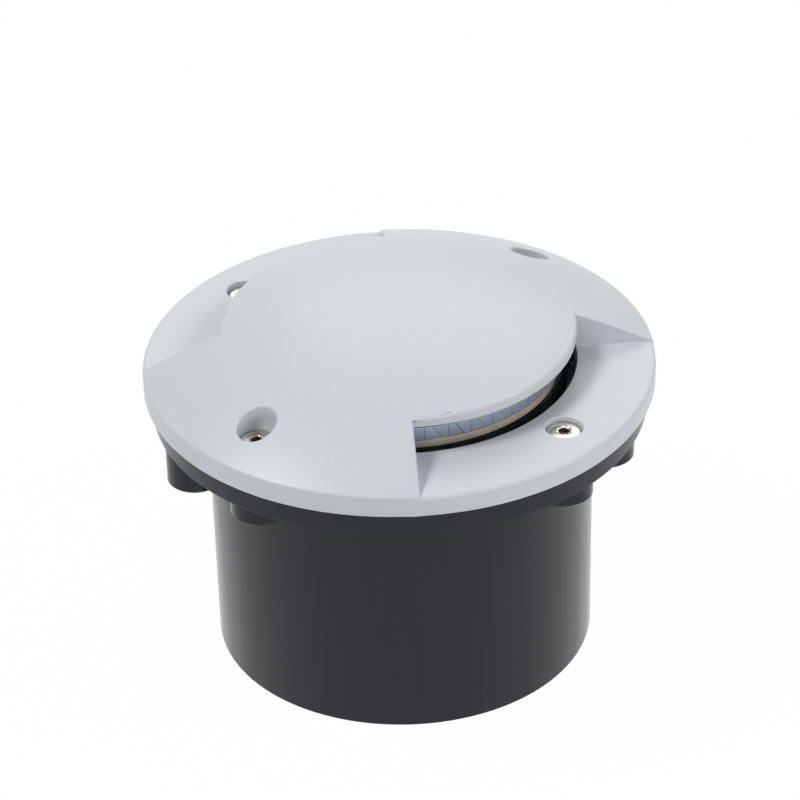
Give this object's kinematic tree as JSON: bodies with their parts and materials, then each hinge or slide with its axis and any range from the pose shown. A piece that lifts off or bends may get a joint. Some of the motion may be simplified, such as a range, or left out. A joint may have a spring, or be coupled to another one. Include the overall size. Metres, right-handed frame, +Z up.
{
  "type": "in ground well light",
  "caption": "Round in-ground well light: domed grey cover with opposite recessed side windows, clear lens drum and a flanged dark sleeve.",
  "frame": {"origin": "on the light's axis, at the foot of the mounting sleeve", "axes": "+Z up along the light's axis, a side window centred on +X and on -X, a cover screw on each of +X, -X, +Y and -Y"},
  "size_m": [0.145, 0.145, 0.1087],
  "materials": {
    "cover_coat": "fine-textured pale grey powder coat on die-cast aluminium",
    "sleeve_plastic": "satin dark grey moulded plastic",
    "housing_coat": "black-coated die-cast aluminium",
    "black_coat": "black-coated steel",
    "stainless": "bright stainless steel",
    "brass_insert": "knurled brass",
    "black_rubber": "black silicone rubber",
    "clear_lens": "clear polished",
    "grey_pad": "grey thermal pad",
    "carrier_aluminium": "dark anodised",
    "reflector": "bright rolled aluminium",
    "strip_film": "white solder mask",
    "phosphor": "tan silicone phosphor",
    "lead_sheath": "red sheath",
    "board_green": "green solder mask",
    "component_black": "moulded black",
    "terminal_green": "moulded green",
    "gland_plastic": "black nylon"
  },
  "bodies": {
    "sleeve": {"mounting_sleeve": "sleeve_plastic", "threaded_inserts": "brass_insert", "cover_gasket": "black_rubber", "housing_gasket": "black_rubber"},
    "lamp_unit": {"lamp_housing": "housing_coat", "lens_seal": "black_rubber", "lens_drum": "clear_lens", "lens_clamp_ring": "black_coat", "clamp_screws": "stainless", "thermal_pad": "grey_pad", "light_carrier": "carrier_aluminium", "carrier_screws": "stainless", "light_strip_right": "strip_film", "light_strip_left": "strip_film", "phosphor_right": "phosphor", "phosphor_left": "phosphor", "reflector_ring": "reflector", "strip_leads": "lead_sheath", "driver_board": "board_green", "board_screws": "stainless", "driver_components": "component_black", "terminal_block": "terminal_green", "gland_body": "gland_plastic", "gland_locknut": "gland_plastic", "gland_nut": "gland_plastic", "gland_seal": "black_rubber", "pressure_vent": "gland_plastic"},
    "cover_unit": {"cover": "cover_coat", "recess_screws": "stainless", "dome_screws": "stainless", "screw_seals": "black_rubber"}
  },
  "joints": [
    {"name": "lamp_lift", "type": "slide", "parent": "sleeve", "child": "lamp_unit", "axis": [0, 0, 1], "range_m": [0, 0.085]},
    {"name": "cover_lift", "type": "slide", "parent": "lamp_unit", "child": "cover_unit", "axis": [0, 0, 1], "range_m": [0, 0.045]}
  ]
}
